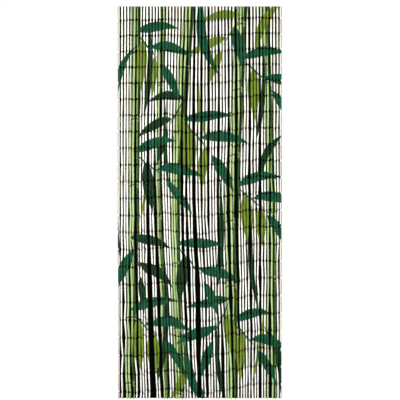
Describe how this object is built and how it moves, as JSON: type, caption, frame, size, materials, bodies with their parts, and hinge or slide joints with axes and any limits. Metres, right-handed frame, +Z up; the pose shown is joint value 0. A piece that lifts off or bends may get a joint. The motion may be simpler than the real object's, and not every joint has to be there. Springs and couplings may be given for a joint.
{
  "type": "bamboo door curtain",
  "caption": "Door curtain of bamboo tubes threaded on strings that hang side by side from a narrow heading strip, painted with green leaves.",
  "frame": {"origin": "middle of the heading strip's top edge", "axes": "+Z up, against the way the strings hang; -Y out of the painted face; +X to the right of someone who faces it"},
  "size_m": [0.9, 0.0173, 2.1552],
  "materials": {
    "bamboo": "matt, painted"
  },
  "bodies": {
    "root": {"bamboo_strings": "bamboo"}
  },
  "joints": []
}
